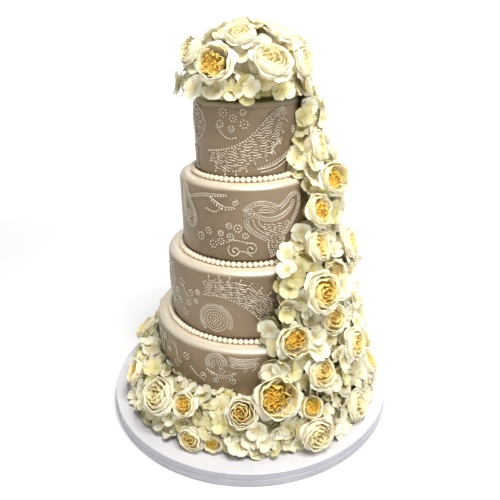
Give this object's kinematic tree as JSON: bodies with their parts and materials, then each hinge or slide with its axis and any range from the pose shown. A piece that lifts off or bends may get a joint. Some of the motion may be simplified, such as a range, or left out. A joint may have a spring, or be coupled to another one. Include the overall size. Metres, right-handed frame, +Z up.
{
  "type": "tiered wedding cake",
  "caption": "Tall round tiered wedding cake in pearly fondant with piped paisley lace and pearl borders, with a topper, cascade and foot garland of roses and hydrangea, on its drum board.",
  "frame": {"origin": "centre of the lower drum's underside", "axes": "+Z up, -Y towards the front, with the cascade of flowers down the +X side"},
  "size_m": [0.472, 0.472, 0.5981],
  "materials": {
    "board": "satin",
    "icing": "satin pearl lustre",
    "pearls": "pearl lustre",
    "roses": "velvety petals",
    "hydrangea": "velvety petals"
  },
  "bodies": {
    "root": {"drum_lower": "board", "drum_upper": "board", "hydrangea_cascade_1": "hydrangea", "hydrangea_cascade_2": "hydrangea", "hydrangea_cascade_3": "hydrangea", "hydrangea_cascade_4": "hydrangea", "hydrangea_garland_1": "hydrangea", "hydrangea_garland_2": "hydrangea", "hydrangea_garland_3": "hydrangea", "hydrangea_garland_4": "hydrangea", "hydrangea_garland_5": "hydrangea", "hydrangea_garland_6": "hydrangea", "hydrangea_topper": "hydrangea", "pearls_lower_middle": "pearls", "pearls_top": "pearls", "pearls_upper_middle": "pearls", "rose_cascade_1": "roses", "rose_cascade_10": "roses", "rose_cascade_11": "roses", "rose_cascade_12": "roses", "rose_cascade_13": "roses", "rose_cascade_14": "roses", "rose_cascade_15": "roses", "rose_cascade_16": "roses", "rose_cascade_2": "roses", "rose_cascade_3": "roses", "rose_cascade_4": "roses", "rose_cascade_5": "roses", "rose_cascade_6": "roses", "rose_cascade_7": "roses", "rose_cascade_8": "roses", "rose_cascade_9": "roses", "rose_garland_1": "roses", "rose_garland_10": "roses", "rose_garland_11": "roses", "rose_garland_12": "roses", "rose_garland_13": "roses", "rose_garland_14": "roses", "rose_garland_15": "roses", "rose_garland_2": "roses", "rose_garland_3": "roses", "rose_garland_4": "roses", "rose_garland_5": "roses", "rose_garland_6": "roses", "rose_garland_7": "roses", "rose_garland_8": "roses", "rose_garland_9": "roses", "rose_topper_1": "roses", "rose_topper_2": "roses", "rose_topper_3": "roses", "rose_topper_4": "roses", "rose_topper_5": "roses", "rose_topper_6": "roses", "rose_topper_7": "roses", "rose_topper_8": "roses", "rose_topper_9": "roses", "tier_bottom": "icing", "tier_lower_middle": "icing", "tier_top": "icing", "tier_upper_middle": "icing"}
  },
  "joints": []
}
